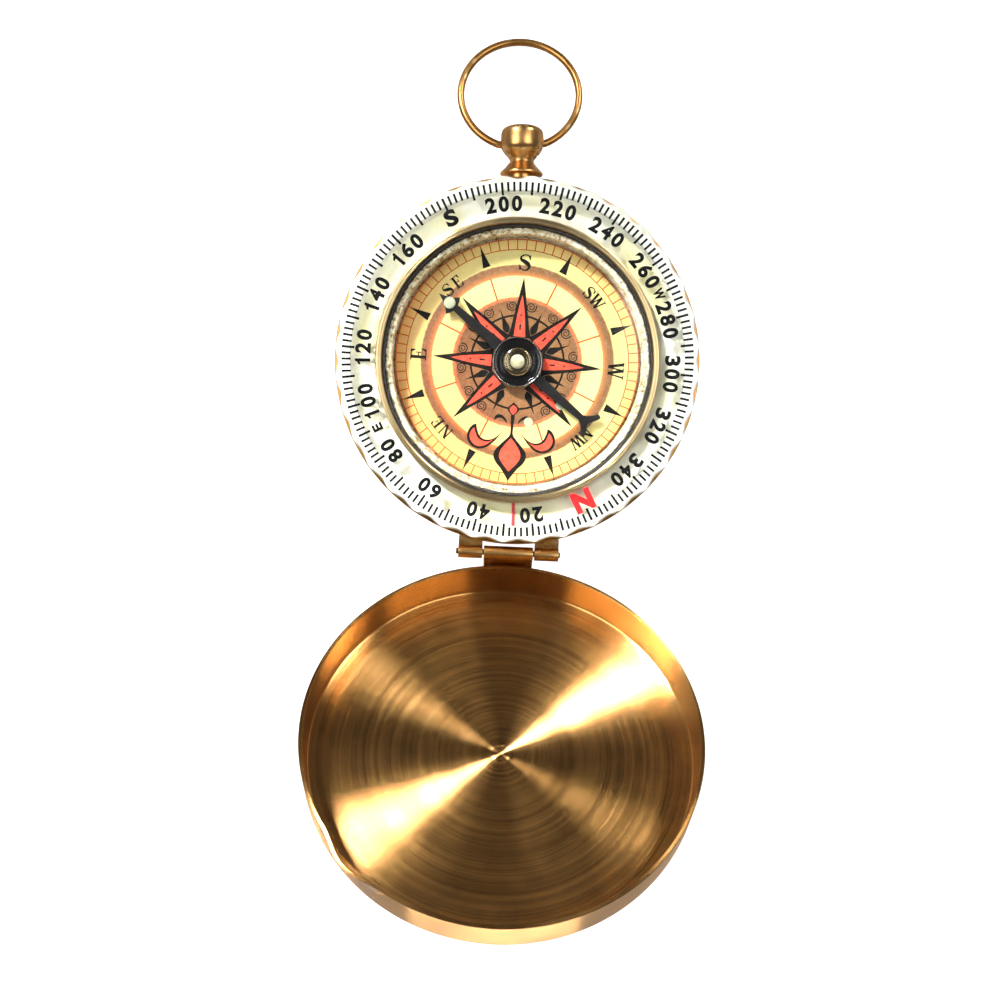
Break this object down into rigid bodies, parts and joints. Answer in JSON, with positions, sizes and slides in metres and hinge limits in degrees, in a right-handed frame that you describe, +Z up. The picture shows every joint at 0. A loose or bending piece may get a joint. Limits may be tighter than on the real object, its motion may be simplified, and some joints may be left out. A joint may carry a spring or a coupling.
{
  "type": "pocket compass",
  "caption": "Round brass pocket compass: hinged dished lid, clear turning bezel over a luminous ring, printed dial, pivoted needle, and a wire bow on a turned pendant.",
  "frame": {"origin": "centre of the case's flat back face, on the axis of the dial and bezel", "axes": "+Z up out of the dial, +Y towards the pendant and bow, -Y towards the hinge and lid, +X along the hinge axis"},
  "size_m": [0.05, 0.1116, 0.0416],
  "materials": {
    "case_body": "lathe-brushed brass, lightly worn",
    "pendant": "turned and polished brass",
    "pendant_nut": "plain turned brass",
    "bow_ring": "drawn and polished brass wire",
    "hinge_bracket": "formed brass sheet",
    "hinge_pin": "darkened steel pin",
    "lid_leaf": "formed brass sheet",
    "lid_shell": "spun brass with circular brushing",
    "bezel_ring": "clear moulded plastic with a printed scale",
    "luminous_ring": "pale yellow-green luminous plastic",
    "index_mark": "red printed line",
    "retainer_ring": "turned brass",
    "gasket_ring": "black rubber",
    "crystal": "clear flat window",
    "capsule_cup": "clear moulded plastic",
    "dial_card": "printed card in pale yellow, ochre, brown, red and black",
    "pivot_pin": "polished steel point",
    "needle": "black painted steel",
    "needle_hub": "gloss black with a bright rim",
    "needle_cap": "turned brass",
    "cap_jewel": "pale bearing cap",
    "needle_lume": "pale luminous dot"
  },
  "bodies": {
    "case": {"case_body": "case_body", "pendant": "pendant", "pendant_nut": "pendant_nut", "hinge_bracket": "hinge_bracket", "hinge_pin": "hinge_pin", "luminous_ring": "luminous_ring", "index_mark": "index_mark", "retainer_ring": "retainer_ring", "gasket_ring": "gasket_ring", "crystal": "crystal", "capsule_cup": "capsule_cup", "dial_card": "dial_card", "pivot_pin": "pivot_pin"},
    "lid": {"lid_shell": "lid_shell", "lid_leaf": "lid_leaf"},
    "bow": {"bow_ring": "bow_ring"},
    "bezel": {"bezel_ring": "bezel_ring"},
    "pointer": {"needle": "needle", "needle_hub": "needle_hub", "needle_cap": "needle_cap", "cap_jewel": "cap_jewel", "needle_lume": "needle_lume"}
  },
  "joints": [
    {"name": "lid_hinge", "type": "hinge", "parent": "case", "child": "lid", "pos_m": [0, -0.026, 0.0067], "axis": [1, 0, 0], "range_deg": [-135.1, 0]},
    {"name": "bow_swing", "type": "hinge", "parent": "case", "child": "bow", "pos_m": [-0.00067, 0.02939, 0.005], "axis": [0.9997, 0.0227, 0], "range_deg": [-105, 125]},
    {"name": "bezel_turn", "type": "hinge", "parent": "case", "child": "bezel", "pos_m": [0, 0, 0.01], "axis": [0, 0, 1], "continuous": true},
    {"name": "needle_spin", "type": "hinge", "parent": "case", "child": "pointer", "pos_m": [0, 0, 0.0082], "axis": [0, 0, 1], "continuous": true}
  ]
}
